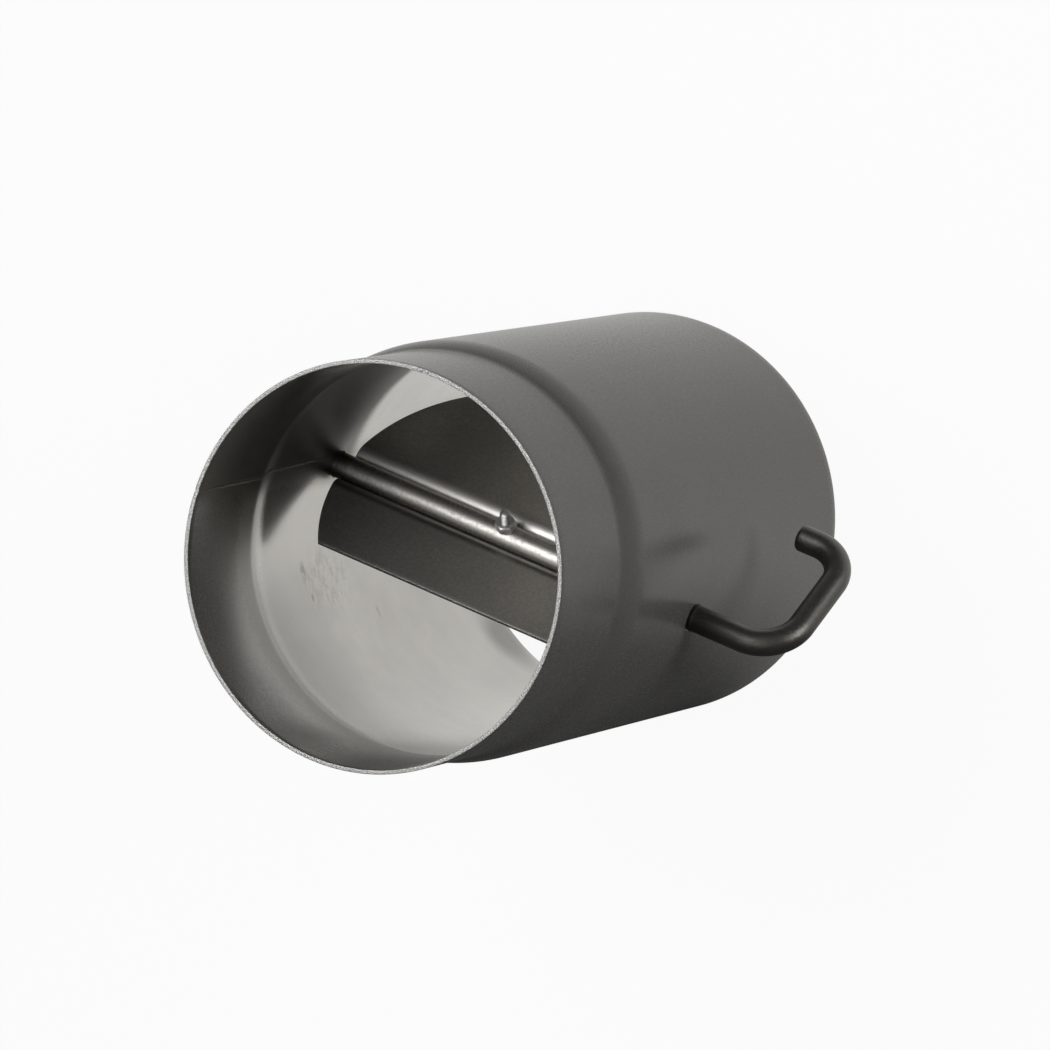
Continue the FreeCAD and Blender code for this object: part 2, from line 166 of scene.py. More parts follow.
def lathe(profile, around):
    """Closed ring of quads round Z from (radius, height, slot) points, slot for the face after."""
    verts = []
    faces = []
    slots = []
    rows = len(profile)
    for turn in steps(0, 2 * math.pi, around)[:-1]:
        for r, z, _ in profile:
            verts.append((r * math.cos(turn), r * math.sin(turn), z))
    for k in range(around):
        here = k * rows
        there = ((k + 1) % around) * rows
        for j in range(rows):
            up = (j + 1) % rows
            faces.append((here + j, there + j, there + up, here + up))
            slots.append(profile[j][2])
    return verts, faces, slots


def turned(rows, around):
    """A solid turned round Z from (radius, height) points, with a flat face at both ends."""
    size = len(rows)
    verts, faces, _ = lathe([(r, z, 0) for r, z in rows], around)
    sides = [face for k, face in enumerate(faces) if k % size != size - 1]
    ends = [tuple(range(first, around * size, size)) for first in (0, size - 1)]
    return verts, sides + ends


def tube_faces(rings, around):
    """Quads along a row of rings of points, and a flat face at both ends."""
    faces = []
    for j in range(rings - 1):
        for k in range(around):
            n = (k + 1) % around
            faces.append((j * around + k, j * around + n, (j + 1) * around + n,
                          (j + 1) * around + k))
    last = (rings - 1) * around
    return faces + [tuple(range(around)), tuple(range(last, last + around))]


def drill(obj, radius, half_length, place, edge_slot):
    """Cuts a round hole along the place's own X. Its walls get the material of a slot."""
    verts, faces = turned([(radius, -half_length), (radius, half_length)], 48)
    cutter = make_object("cutter", verts, faces, [obj.data.materials[edge_slot]],
                         place=place @ Matrix.Rotation(math.pi / 2, 4, "Y"))
    combine(obj, cutter, "DIFFERENCE")


# Material helpers. Places in materials are in metres, in the frame that all pieces share.

NOISE_LOW, NOISE_HIGH = 0.3, 0.7
WARM_SHINE = (1.0, 0.975, 0.90, 1)


class Nodes:
    """Fills a node tree. An input given as a socket is linked, any other is set."""

    def __init__(self, tree):
        self.tree = tree
        self.tree.nodes.clear()

    def node(self, kind, inputs=None, output=0, **settings):
        made = self.tree.nodes.new(kind)
        for key, value in settings.items():
            setattr(made, key, value)
        for key, value in (inputs or {}).items():
            if isinstance(value, bpy.types.NodeSocket):
                self.tree.links.new(value, made.inputs[key])
            else:
                made.inputs[key].default_value = value
        return made.outputs[output] if made.outputs else made

    def rays(self):
        """What kind of ray asks: 1 or 0 for each kind, by name."""
        return self.tree.nodes.new("ShaderNodeLightPath").outputs

    def math(self, how, a, b=0.0):
        return self.node("ShaderNodeMath", {0: a, 1: b}, operation=how)

    def plus(self, a, b):
        return self.math("ADD", a, b)

    def minus(self, a, b):
        return self.math("SUBTRACT", a, b)

    def times(self, a, b):
        return self.math("MULTIPLY", a, b)

    def most(self, a, b):
        return self.math("MAXIMUM", a, b)

    def distance(self, a, b):
        """Distance over two steps at right angles."""
        return self.math("SQRT", self.plus(self.times(a, a), self.times(b, b)))

    def remap(self, value, low, high, to_low=0.0, to_high=1.0, smooth=True):
        """Takes low to to_low and high to to_high, and holds those beyond them."""
        return self.node(
            "ShaderNodeMapRange",
            {"Value": value, "From Min": low, "From Max": high, "To Min": to_low,
             "To Max": to_high},
            interpolation_type="SMOOTHSTEP" if smooth else "LINEAR")


class Shader(Nodes):
    """Builds one material."""

    def __init__(self, name):
        self.mat = bpy.data.materials.new(name)
        self.mat.use_nodes = True
        super().__init__(self.mat.node_tree)
        self.coords = self.node("ShaderNodeTexCoord", output="Object")

    def axes(self):
        split = self.tree.nodes.new("ShaderNodeSeparateXYZ")
        self.tree.links.new(self.coords, split.inputs[0])
        return split.outputs

    def noise(self, scale, detail, rough, where=None):
        return self.node(
            "ShaderNodeTexNoise",
            {"Vector": where or self.coords, "Scale": scale, "Detail": detail,
             "Roughness": rough})

    def stretched(self, x, y, z):
        """Coordinates multiplied axis by axis, for a noise of scale 1."""
        return self.node("ShaderNodeVectorMath", {0: self.coords, 1: (x, y, z)},
                         operation="MULTIPLY")

    def vary(self, noise, low, high):
        """A value that goes from low to high with a noise."""
        return self.remap(noise, NOISE_LOW, NOISE_HIGH, low, high)

    def mix(self, factor, a, b):
        """Mixes two colours. Inputs 6 and 7 of the node are its colours."""
        return self.node("ShaderNodeMix", {0: factor, 6: a, 7: b}, output=2, data_type="RGBA")

    def mottle(self, noise, a, b):
        """A colour that goes from a to b with a noise."""
        return self.mix(self.vary(noise, 0.0, 1.0), a, b)

    def bump(self, height, strength, distance):
        return self.node("ShaderNodeBump", {
            "Height": height, "Strength": strength, "Distance": distance})

    def metal(self, tone, rough, normal, metallic=1.0):
        return self.node("ShaderNodeBsdfPrincipled", {
            "Base Color": tone, "Metallic": metallic, "Roughness": rough, "Normal": normal})

    def paint(self, tone, rough, normal, specular):
        return self.node("ShaderNodeBsdfPrincipled", {
            "Base Color": tone, "Roughness": rough, "Specular IOR Level": specular,
            "Specular Tint": WARM_SHINE, "Normal": normal})

    def done(self, shader):
        self.node("ShaderNodeOutputMaterial", {"Surface": shader})
        return self.mat


def grey(value, warm=0.0):
    """A grey, with red up by the share warm and blue down by twice it."""
    return (value * (1 + warm), value, value * (1 - 2 * warm), 1)


def plate_axes(s, y, z):
    """Distances from the shaft's axis: across the plate, and up from it."""
    tilt = math.radians(TILT)
    rise = s.minus(z, SHAFT_Z / 1000)
    across = s.minus(s.times(y, math.cos(tilt)), s.times(rise, math.sin(tilt)))
    above = s.plus(s.times(y, math.sin(tilt)), s.times(rise, math.cos(tilt)))
    return across, above


# Materials

def make_pipe_paint():
    """Matt stove paint: a fine grain with faint clouds."""
    s = Shader("pipe_paint_outside")
    grain = s.noise(1600, 2.0, 0.6)
    clouds = s.noise(28, 4.0, 0.55)
    tone = s.mottle(clouds, grey(0.053, 0.03), grey(0.061, 0.03))
    tone = s.mix(s.remap(grain, 0.25, 0.75, 0.0, 0.4, smooth=False), tone, grey(0.078, 0.03))
    return s.done(s.paint(tone, s.vary(grain, 0.225, 0.30), s.bump(grain, 0.05, 0.0001), 0.14))


# Marks rubbed on the inner wall; the last one is painted shade at the wall's foot. Each has
# its middle (y, z), its reach (y, z), the noise at which it begins and is full, and its depth.

MARKS_AND_SHADE = ((-0.0375, 0.1515, 0.0048, 0.0028, 0.33, 0.58, 0.6),
         (-0.0400, 0.1330, 0.0150, 0.0280, 0.42, 0.66, 0.32),
         (-0.0455, 0.1480, 0.0016, 0.0014, 0.20, 0.45, 0.45),
         (-0.0530, 0.0990, 0.0024, 0.0014, 0.30, 0.50, 0.3),
         # The last mark is painted shade at the wall's foot
         (-0.0655, 0.0090, 0.0090, 0.0200, 0.20, 0.40, 0.65))
DARK_WALL_TONE = grey(0.07, 0.02)
SCORCH_AND_SHADE = (0.085, 0.080, 0.072, 1)
HEAT_TINT = (0.16, 0.145, 0.125, 1)
MARK_AND_SHADE_TONE = (0.10, 0.095, 0.085, 1)


def put_marks_and_shade(s, tone, x, y, z):
    """Puts the rubbed marks, and the painted shade at the foot, on the wall's -X half."""
    marked = s.remap(x, -0.010, -0.020)
    coarse = s.noise(1, 3.0, 0.6, where=s.stretched(170, 170, 330))
    fine = s.noise(520, 3.0, 0.7)
    blotches = s.plus(s.times(coarse, 0.6), s.times(fine, 0.4))
    for mark_y, mark_z, reach_y, reach_z, low, high, depth in MARKS_AND_SHADE:
        off = s.distance(s.math("DIVIDE", s.minus(y, mark_y), reach_y),
                         s.math("DIVIDE", s.minus(z, mark_z), reach_z))
        inside = s.times(s.remap(off, 0.25, 1.0, 1.0, 0.0), marked)
        tone = s.mix(s.times(s.remap(blotches, low, high, 0.0, depth), inside), tone, MARK_AND_SHADE_TONE)
    return tone


def make_inner_steel():
    """Bare rolled steel, with painted shade toward the neck, darker near the spigot's rim, a
    scorch and painted shade by the far hole, a tint along the weld, rubbed marks and painted shade
    at the foot.
    """
    s = Shader("bare_steel_inside")
    x, y, z = s.axes()
    grain = s.noise(1300, 3.0, 0.6)
    clouds = s.noise(22, 4.0, 0.6)
    far_side = s.remap(x, -0.022, -0.058)
    tone = s.mottle(clouds, grey(0.37, 0.02), grey(0.43, 0.02))
    tone = s.mix(s.vary(grain, 0.0, 0.08), tone, grey(0.26, 0.02))

    # Painted shade: the -Y side is darker toward the neck
    painted_neck_shade = s.times(s.remap(z, 0.125, 0.185, 0.0, 0.4), s.remap(y, -0.025, -0.05))
    tone = s.mix(painted_neck_shade, tone, DARK_WALL_TONE)

    # The spigot is darker toward its rim, most on the -Y side, and there most toward +X
    darker_spigot = s.plus(s.remap(y, -0.045, -0.068, 0.45, 0.8),
                     s.remap(grain, 0.35, 0.65, -0.18, 0.18))
    darker_spigot = s.plus(darker_spigot, s.times(s.remap(x, -0.02, 0.03, 0.1, 0.34),
                                      s.remap(y, -0.055, -0.068)))
    tone = s.mix(s.times(s.remap(z, 0.197, 0.236), darker_spigot), tone, DARK_WALL_TONE)

    # The far wall is darker on the +Y side of its hole, with a ragged border: partly scorch,
    # partly painted shade
    ragged = s.vary(clouds, -0.006, 0.006)
    hem = s.plus(z, s.times(ragged, 0.2))
    side = s.plus(y, ragged)
    scorch_and_shade = s.times(s.remap(hem, 0.114, 0.123, 0.0, 0.85),
                     s.times(s.remap(y, -0.010, 0.002), s.remap(side, 0.072, 0.047)))
    scorch_and_shade = s.times(scorch_and_shade, far_side)
    tone = s.mix(scorch_and_shade, tone, SCORCH_AND_SHADE)

    # The weld's heat tints the sheet along the seam
    wander = s.remap(s.noise(30, 3.0, 0.55), 0.0, 1.0, -0.007, 0.007, smooth=False)
    off_seam = s.math("ABSOLUTE", s.plus(y, wander))
    tone = s.mix(s.times(s.remap(off_seam, 0.002, 0.011, 0.45, 0.0), far_side), tone, HEAT_TINT)
    tone = put_marks_and_shade(s, tone, x, y, z)

    # The sheet is duller where it is bent, over the scorch and painted shade, and where handled at
    # the mouth
    bent = s.times(s.remap(z, 0.180, 0.196), s.remap(z, 0.216, 0.200))
    mouth = s.times(s.remap(z, 0.200, 0.215), s.remap(y, -0.056, -0.066))
    rough = s.plus(s.vary(grain, 0.19, 0.25), s.times(bent, 0.15))
    rough = s.plus(rough, s.times(scorch_and_shade, 0.2))
    rough = s.plus(rough, s.times(mouth, s.remap(x, -0.01, 0.02, 0.0, 0.22)))
    return s.done(s.metal(tone, rough, s.bump(grain, 0.02, 0.0001)))


def make_cut_edge():
    """Sawn sheet edge: bright and grainy."""
    s = Shader("cut_steel_edge")
    grain = s.noise(2200, 2.0, 0.7)
    tone = s.mix(s.remap(grain, 0.38, 0.62), grey(0.14, 0.01), grey(0.68, 0.01))
    return s.done(s.metal(tone, 0.45, s.bump(grain, 0.8, 0.0003)))


def make_bar_steel():
    """Bare drawn steel inside the pipe, darker at the far wall: partly grime, partly painted
    shade.
    Outside it is painted black, matt at the wall and satin on the handle."""
    s = Shader("bar_bare_and_black")
    x, _, _ = s.axes()
    lines = s.noise(1, 3.0, 0.6, where=s.stretched(60, 2200, 2200))
    specks = s.noise(900, 3.0, 0.7)
    bare = s.mix(s.remap(specks, 0.35, 0.7), grey(0.62, 0.028), grey(0.50, 0.028))
    # Darker toward the far wall: partly grime, partly painted shade
    darkened = s.plus(s.remap(x, -0.069, -0.042, 0.55, 0.0), s.vary(specks, -0.1, 0.1))
    darkened = s.plus(darkened, s.remap(x, -0.073, -0.067, 0.4, 0.0))
    bare = s.mix(darkened, bare, grey(0.12, 0.02))
    steel = s.metal(bare, s.vary(specks, 0.41, 0.48), s.bump(lines, 0.1, 0.00005))

    wrinkle = s.noise(1100, 3.0, 0.6)
    black = s.mottle(wrinkle, grey(0.007, 0.06), grey(0.014, 0.06))
    uneven = s.bump(wrinkle, 0.35, 0.00018)
    matt = s.paint(black, s.vary(wrinkle, 0.50, 0.58), uneven, 0.3)
    satin = s.paint(black, s.vary(wrinkle, 0.36, 0.45), uneven, 0.9)
    coat = s.node("ShaderNodeMixShader", {0: s.remap(x, 0.080, 0.097), 1: matt, 2: satin})

    # The paint stops unevenly at the pipe's wall
    border = s.plus(s.math("ABSOLUTE", x), s.remap(specks, 0.0, 1.0, -0.0012, 0.0012))
    painted = s.remap(border, 0.0752, 0.0762)
    return s.done(s.node("ShaderNodeMixShader", {0: painted, 1: steel, 2: coat}))


def make_plate_steel():
    """Rolled sheet with a dull sheen and a few pale specks. A painted highlight brightens it
    beside the shaft on one side, and painted shade darkens it under the shaft and on the other
    side."""
    s = Shader("plate_rolled_steel")
    _, y, z = s.axes()
    grain = s.noise(900, 3.0, 0.7)
    clouds = s.noise(40, 3.0, 0.6)
    specks = s.noise(420, 1.0, 0.4)
    tone = s.mottle(clouds, grey(0.56, 0.035), grey(0.63, 0.035))
    tone = s.mix(s.remap(grain, 0.35, 0.65, 0.0, 0.6), tone, grey(0.42, 0.03))
    tone = s.mix(s.remap(specks, 0.76, 0.79, 0.0, 0.6), tone, grey(0.75, 0.01))
    across, _ = plate_axes(s, y, z)
    # Painted highlight on the bead's flank beside the shaft
    painted_highlight = s.times(s.remap(across, 0.0048, 0.0056), s.remap(across, 0.0115, 0.0065))
    tone = s.mix(painted_highlight, tone, grey(0.80, 0.02))
    # Painted shade under the shaft and on the bead's near side
    darkened = s.times(s.remap(across, -0.0125, -0.010, 0.0, 0.75),
                    s.remap(across, 0.0046, 0.0054, 1.0, 0.0))
    tone = s.mix(darkened, tone, grey(0.07, 0.03))
    return s.done(s.metal(tone, s.vary(grain, 0.35, 0.43), s.bump(grain, 0.15, 0.0001), 0.85))


def make_zinc():
    """Bright zinc, with painted shade in the roots of the screw's thread."""
    s = Shader("bright_zinc")
    x, y, z = s.axes()
    grain = s.noise(1500, 3.0, 0.6)
    tone = s.mottle(grain, grey(0.74, 0.006), grey(0.86, 0.006))
    across, above = plate_axes(s, y, z)
    off_bolt = s.distance(s.plus(x, BOLT_SHIFT / 1000), across)
    tip = BOLT_TIP / 1000
    # Painted shade in the roots of the thread, below the point
    painted_thread_shade = s.times(s.remap(off_bolt, 0.00172, 0.00192, 0.85, 0.0),
                   s.remap(above, tip - 0.0006, tip - 0.0003, 1.0, 0.0))
    tone = s.mix(painted_thread_shade, tone, grey(0.10, 0.01))
    return s.done(s.metal(tone, s.vary(grain, 0.36, 0.46), s.bump(grain, 0.1, 0.00006), 0.9))


PIPE_PAINT = make_pipe_paint()
INNER_STEEL = make_inner_steel()
CUT_EDGE = make_cut_edge()
BAR_STEEL = make_bar_steel()
PLATE_STEEL = make_plate_steel()
ZINC = make_zinc()


# The flue pipe

OUTSIDE, INSIDE, EDGE = 0, 1, 2
RIM_SOFT = 0.18
PIPE_AROUND = 360
DENTED_TOP = 0.7
DENTS = ((93.0, 0.55, 0.9), (180.0, 0.45, 0.8))


def pipe_profile():
    """The wall's section as (radius, height, slot of the face that follows), with soft edges."""
    soft = RIM_SOFT
    shoulder = (PIPE_R - SHOULDER_R, TAPER_FOOT)
    crease = (SPIGOT_R + CREASE_R, SPIGOT_FOOT)
    inner = SPIGOT_R - SHEET
    quarter = math.pi / 2
    rows = []

    def run(points, slot):
        for r, z in points:
            if rows and math.dist(rows[-1][:2], (r, z)) < 1e-6:
                rows.pop()
            rows.append((r, z, slot))

    run([(PIPE_R, z) for z in steps(soft, TAPER_FOOT, 44)], OUTSIDE)
    run(arc_points(shoulder, SHOULDER_R, 0, LEAN, 16), OUTSIDE)
    run(arc_points(crease, CREASE_R, math.pi + LEAN, math.pi, 12), OUTSIDE)
    run([(SPIGOT_R, z) for z in steps(SPIGOT_FOOT, LENGTH - soft, 14)], OUTSIDE)
    run(arc_points((SPIGOT_R - soft, LENGTH - soft), soft, 0, quarter, 3), EDGE)
    run(arc_points((inner + soft, LENGTH - soft), soft, quarter, 2 * quarter, 3), EDGE)
    run([(inner, z) for z in steps(LENGTH - soft, SPIGOT_FOOT, 14)], INSIDE)
    run(arc_points(crease, CREASE_R + SHEET, math.pi, math.pi + LEAN, 12), INSIDE)
    run(arc_points(shoulder, SHOULDER_R - SHEET, LEAN, 0, 16), INSIDE)
    run([(BORE_R, z) for z in steps(TAPER_FOOT, soft, 44)], INSIDE)
    run(arc_points((BORE_R + soft, soft), soft, 2 * quarter, 3 * quarter, 3), EDGE)
    run(arc_points((PIPE_R - soft, soft), soft, 3 * quarter, 4 * quarter, 3), EDGE)
    rows.pop()
    return rows


def dent_rim(verts):
    """Two small dents in the spigot's rim: one worn, one where the seam ends. Each has its
    angle round the rim, its depth and its width in degrees."""
    out = []
    for x, y, z in verts:
        if z > LENGTH - DENTED_TOP:
            turn = math.degrees(math.atan2(y, x)) % 360
            for place, depth, width in DENTS:
                z -= depth * math.exp(-((turn - place) / width) ** 2)
        out.append((x, y, z))
    return out


verts, faces, slots = lathe(pipe_profile(), PIPE_AROUND)
pipe = make_object("flue_pipe_wall", dent_rim(verts), faces, [PIPE_PAINT, INNER_STEEL, CUT_EDGE],
                   slots)
drill(pipe, HOLE_R, 90, Matrix.Translation((0, 0, SHAFT_Z)), EDGE)
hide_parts("flue_pipe")
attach(pipe, "pipe")


# The seam on the inside of the far wall: a low weld bead, cut through by the shaft's hole

SEAM_STEP = 0.5
SEAM_AROUND = 8
SEAM_HALF_WIDTH = 0.85
SEAM_HEIGHT = 0.26
SEAM_END, SEAM_GROWTH = 0.2, 2.5
SEAM_SUNK = 0.4
SEAM_DRIFT = 3.8
SEAM_RUN = 150
HOLE_GAP = 1.0
SEAM_TOP, SEAM_FOOT = LENGTH - 0.8, 1.0


def wall_inside(z):
    """Radius of the inside wall at a height."""
    shoulder_r = SHOULDER_R - SHEET
    crease_r = CREASE_R + SHEET
    joint = TAPER_FOOT + shoulder_r * math.sin(LEAN)
    if z < TAPER_FOOT:
        return BORE_R
    if z < joint:
        return PIPE_R - SHOULDER_R + math.sqrt(shoulder_r ** 2 - (z - TAPER_FOOT) ** 2)
    if z < SPIGOT_FOOT:
        return SPIGOT_R + CREASE_R - math.sqrt(crease_r ** 2 - (SPIGOT_FOOT - z) ** 2)
    return SPIGOT_R - SHEET


def make_seam(name, low, high):
    """A bead with an uneven line, width and height, thinner toward both ends. Its line leans
    round the wall by the drift, in degrees, over the run."""
    count = int((high - low) / SEAM_STEP)
    verts = []
    for k, z in enumerate(steps(low, high, count)):
        ends = min(1.0, SEAM_GROWTH * k / count + SEAM_END,
                   SEAM_GROWTH * (count - k) / count + SEAM_END)
        wave = math.sin(z * 1.9) * 0.08 + math.sin(z * 0.63 + 1) * 0.12
        middle = math.radians(180 - SEAM_DRIFT * (LENGTH - z) / SEAM_RUN) + wave / BORE_R
        half = (SEAM_HALF_WIDTH + 0.15 * math.sin(z * 2.7)) * ends
        height = (SEAM_HEIGHT + 0.06 * math.sin(z * 3.3)) * ends
        r = wall_inside(z)
        for a in steps(0, 2 * math.pi, SEAM_AROUND)[:-1]:
            rise = (height if math.cos(a) > 0 else SEAM_SUNK) * math.cos(a)
            turn = middle + half * math.sin(a) / r
            verts.append(((r - rise) * math.cos(turn), (r - rise) * math.sin(turn), z))
    seam = make_object(name, verts, tube_faces(count + 1, SEAM_AROUND), [INNER_STEEL])
    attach(seam, "pipe")


make_seam("flue_pipe_seam_upper", SHAFT_Z + HOLE_R + HOLE_GAP, SEAM_TOP)
make_seam("flue_pipe_seam_lower", SEAM_FOOT, SHAFT_Z - HOLE_R - HOLE_GAP)


# The shaft and its handle

BAR_AROUND = 56
END_ROUND = 1.8
END_TURN = 75
RING_START = 0.45
RING_END = 2.1

# The ring of thick paint where the handle leaves the wall: distance from the wall, added radius

PAINT_RING = ((0.5, 0.14), (0.8, 0.22), (1.2, 0.16), (1.6, 0.05), (RING_END, 0.0))


def bar_stations():
    """Centre, direction and radius along the bar, in the shaft's frame."""
    out = []

    def add(x, y, heading, radius=BAR_R):
        out.append((x, y, heading, radius))

    def add_end(x, y, heading):
        for a in steps(0, END_TURN, 4):
            t = math.radians(a)
            add(x + END_ROUND * (1 - math.sin(t)), y, heading,
                BAR_R - END_ROUND * (1 - math.cos(t)))

    def add_bend(x, y, radius, heading):
        for a in steps(0, 90, 24)[1:]:
            t = math.radians(heading + a)
            add(x + radius * math.sin(t), y - radius * math.cos(t), heading + a)

    add_end(TAIL_X, 0, 0)
    out.reverse()
    for x in steps(TAIL_X + END_ROUND, PIPE_R + RING_START, 36)[1:]:
        add(x, 0, 0)
    for x, rise in PAINT_RING:
        add(PIPE_R + x, 0, 0, BAR_R + rise)
    for x in steps(PIPE_R + RING_END, HANDLE_X - FIRST_BEND, 6)[1:]:
        add(x, 0, 0)
    add_bend(HANDLE_X - FIRST_BEND, FIRST_BEND, FIRST_BEND, 0)
    for y in steps(FIRST_BEND, HANDLE_V - LAST_BEND, 8)[1:]:
        add(HANDLE_X, y, 90)
    add_bend(HANDLE_X - LAST_BEND, HANDLE_V - LAST_BEND, LAST_BEND, 90)
    for x in steps(HANDLE_X - LAST_BEND, HANDLE_X - RETURN + END_ROUND, 4)[1:-1]:
        add(x, HANDLE_V, 180)
    add_end(HANDLE_X - RETURN, HANDLE_V, 180)
    return out


def sweep_bar():
    verts = []
    stations = bar_stations()
    for x, y, heading, radius in stations:
        t = math.radians(heading)
        side = Vector((-math.sin(t), math.cos(t), 0))
        for a in steps(0, 2 * math.pi, BAR_AROUND)[:-1]:
            p = Vector((x, y, 0)) + side * radius * math.cos(a)
            verts.append((p.x, p.y, radius * math.sin(a)))
    return verts, tube_faces(len(stations), BAR_AROUND)


verts, faces = sweep_bar()
bar = make_object("handle_and_shaft_bar", verts, faces, [BAR_STEEL], place=SHAFT_FRAME)
drill(bar, BOLT_HOLE_R, 8, BOLT_FRAME @ Matrix.Rotation(math.pi / 2, 4, "Y"), 0)
round_edges(bar, 0.3, 38)
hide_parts("handle_shaft")
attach(bar, "damper")


# The damper plate

SHOULDER_Z = LEVEL - BEAD_SHOULDER
SHOULDER_Y = math.sqrt((BEAD_R + BEAD_SHOULDER) ** 2 - SHOULDER_Z ** 2)
PLATE_SOFT = 0.15
HOLE_AROUND = 40
FINE_STEP, COARSE_STEP = 0.3, 2.5
FINE_ROWS = 45
HOLE_MARGIN = 0.55


def sheet_height(y, depth):
    """Height of the plate's front, or of its back where depth is the sheet's thickness."""
    y = abs(y)
    bead = BEAD_R + depth
    shoulder = BEAD_SHOULDER - depth
    joint = bead * SHOULDER_Y / (BEAD_R + BEAD_SHOULDER)
    if y >= SHOULDER_Y:
        return LEVEL - depth
    if y >= joint:
        return SHOULDER_Z + math.sqrt(shoulder ** 2 - (SHOULDER_Y - y) ** 2)
    return -math.sqrt(bead ** 2 - y ** 2)


def plate_outline(inset):
    """The disc with its straight cut, as a loop of points, set in by inset."""
    radius = PLATE_R - inset
    low = -CUT + inset
    start = math.asin(low / radius)
    loop = arc_points((-PLATE_SHIFT, 0), radius, start, math.pi - start, 220)
    return loop + [(x, low) for x in steps(loop[-1][0], loop[0][0], 60)[1:-1]]


def plate_rows():
    """Distances across the plate at which its mesh has rows, close together over the bead."""
    rows = [k * FINE_STEP for k in range(-FINE_ROWS, FINE_ROWS + 1)]
    y = FINE_ROWS * FINE_STEP
    while y < PLATE_R:
        y += COARSE_STEP
        rows += [y, -y]
    return sorted(rows)


def plate_points():
    """Points inside the plate, clear of its outline and of the bolt's hole."""
    points = []
    reach = PLATE_R - 1.0
    for y in plate_rows():
        if not -CUT + 0.8 < y < reach:
            continue
        half = math.sqrt(reach ** 2 - y * y)
        for x in steps(-half, half, max(4, int(2 * half / COARSE_STEP))):
            if math.hypot(x - PLATE_SHIFT + BOLT_SHIFT, y) > BOLT_HOLE_R + HOLE_MARGIN:
                points.append((x - PLATE_SHIFT, y))
    return points


def flat_plate(outline):
    """The plate's points and triangles in its plane, with the loops of its outline and hole."""
    count = len(outline)
    hole = arc_points((-BOLT_SHIFT, 0), BOLT_HOLE_R, 0, 2 * math.pi, HOLE_AROUND)[:-1]
    points = [Vector(p) for p in outline + hole + plate_points()]
    ring = [(k, (k + 1) % count) for k in range(count)]
    ring += [(count + k, count + (k + 1) % HOLE_AROUND) for k in range(HOLE_AROUND)]
    made = geometry.delaunay_2d_cdt(points, ring, [], 0, 1e-5)
    places = made[0]
    triangles = []
    for corners in made[2]:
        middle = sum((places[k] for k in corners), Vector((0, 0))) / 3
        if math.hypot(middle.x + BOLT_SHIFT, middle.y) > BOLT_HOLE_R:
            triangles.append(tuple(corners))
    index = {source: k for k, sources in enumerate(made[3]) for source in sources}
    loop = [index[k] for k in range(count)]
    hole_loop = [index[count + k] for k in range(HOLE_AROUND)]
    return places, triangles, loop, hole_loop


def make_plate():
    """Front and back of the sheet, the rounded edge between them and the wall of the hole."""
    inset = plate_outline(PLATE_SOFT)
    places, triangles, front_loop, hole = flat_plate(inset)
    verts = [(p.x, p.y, sheet_height(p.y, depth)) for depth in (0, SHEET) for p in places]
    back = len(places)
    faces = triangles + [tuple(back + k for k in reversed(face)) for face in triangles]
    slots = [0] * len(faces)

    def band(a, b):
        for k in range(len(a)):
            n = (k + 1) % len(a)
            faces.append((a[k], a[n], b[n], b[k]))
            slots.append(1)

    loops = [front_loop]
    corner = 0.3 * PLATE_SOFT
    for inward, lift, depth in ((corner, -corner, 0), (0.0, -PLATE_SOFT, 0),
                                (0.0, PLATE_SOFT, SHEET), (corner, corner, SHEET)):
        start = len(verts)
        for (x, y), (_, level_y) in zip(plate_outline(inward), inset):
            verts.append((x, y, sheet_height(level_y, depth) + lift))
        loops.append(range(start, len(verts)))
    loops.append([back + k for k in front_loop])
    for a, b in zip(loops, loops[1:]):
        band(a, b)
    band(hole, [back + k for k in hole])
    return make_object("damper_plate_sheet", verts, faces, [PLATE_STEEL, CUT_EDGE], slots,
                       place=SHAFT_FRAME, smooth=50)


plate = make_plate()
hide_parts("damper_plate")
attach(plate, "damper")


# The bolt and nut

PITCH = 0.7
THREAD_AROUND = 40
THREAD_DEPTH = 0.34
CREST_R = BOLT_R - 0.02
POINT = 0.5
POINT_SLOPE = 0.9
FACE_SHARE = 0.95
CHAMFER_SLOPE = 1.732


def hexagon(low, high):
    corner = FLATS / math.sqrt(3)
    verts = []
    for z in (low, high):
        for k in range(6):
            a = math.radians(30 + 60 * k)
            verts.append((corner * math.cos(a), corner * math.sin(a), z))
    faces = [tuple(range(6)), tuple(range(6, 12))]
    for k in range(6):
        n = (k + 1) % 6
        faces.append((k, n, n + 6, k + 6))
    return verts, faces


def hex_block(name, low, high, chamfer_high):
    """A hexagon with its corners turned off at its low face, and at its high one where asked."""
    verts, faces = hexagon(low, high)
    block = make_object(name, verts, faces, [ZINC], place=BOLT_FRAME, smooth=20)
    face_r = FLATS * FACE_SHARE / 2
    middle_r = face_r + CHAMFER_SLOPE * (high - low) / 2
    rows = [(face_r, low - 0.001), (middle_r, (low + high) / 2),
            (face_r if chamfer_high else middle_r, high + 0.001)]
    verts, faces = turned(rows, 96)
    turner = make_object("turner", verts, faces, [ZINC], place=BOLT_FRAME)
    combine(block, turner, "INTERSECT", 20)
    return block


